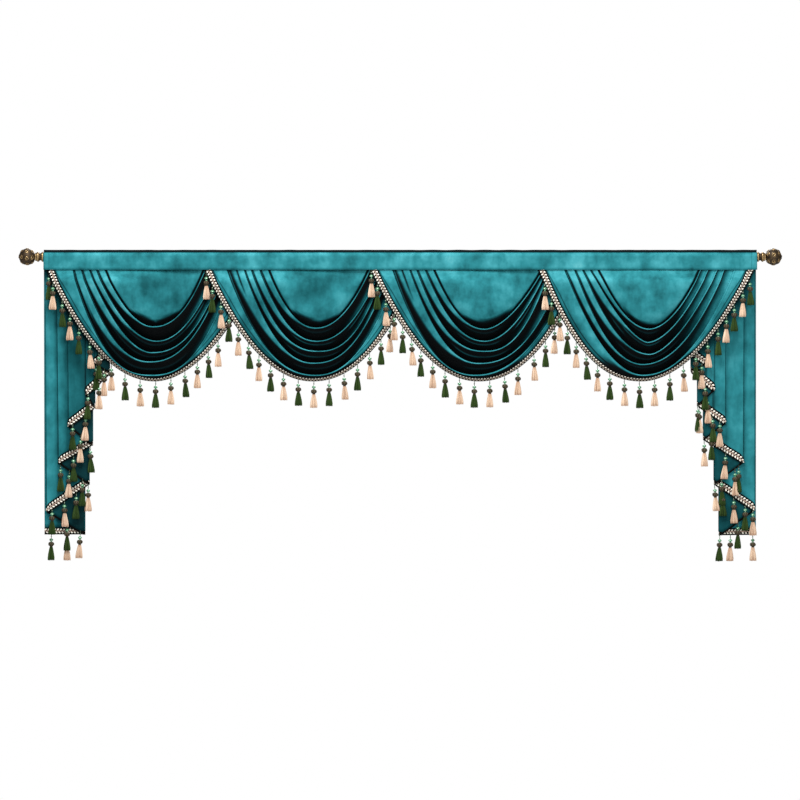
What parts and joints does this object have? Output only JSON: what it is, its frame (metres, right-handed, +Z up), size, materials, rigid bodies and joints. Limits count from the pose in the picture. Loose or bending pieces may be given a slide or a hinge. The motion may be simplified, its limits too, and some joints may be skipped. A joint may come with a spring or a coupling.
{
  "type": "swag valance on a curtain rod",
  "caption": "Velvet window valance with overlapping cowl swags, pleated side tails and tasselled braid, hung by its pocket on a curtain rod with ball finials.",
  "frame": {"origin": "on the rod's axis, at the middle of its length", "axes": "+X along the rod, +Z up, the front of the valance faces -Y and the wall is on the +Y side"},
  "size_m": [2.6726, 0.0868, 1.0918],
  "materials": {
    "velvet": "crushed velvet",
    "braid": "woven gimp",
    "tassel_green": "rayon thread",
    "tassel_cream": "rayon thread",
    "beads": "glossy",
    "bronze": "antiqued"
  },
  "bodies": {
    "root": {"rod": "bronze", "finial_left": "bronze", "finial_right": "bronze", "heading": "velvet", "swag_1": "velvet", "swag_2": "velvet", "swag_3": "velvet", "swag_4": "velvet", "swag_trim_1": "braid", "swag_trim_2": "braid", "swag_trim_3": "braid", "swag_trim_4": "braid", "tail_left": "velvet", "tail_right": "velvet", "tail_trim_left": "braid", "tail_trim_right": "braid"}
  },
  "joints": []
}
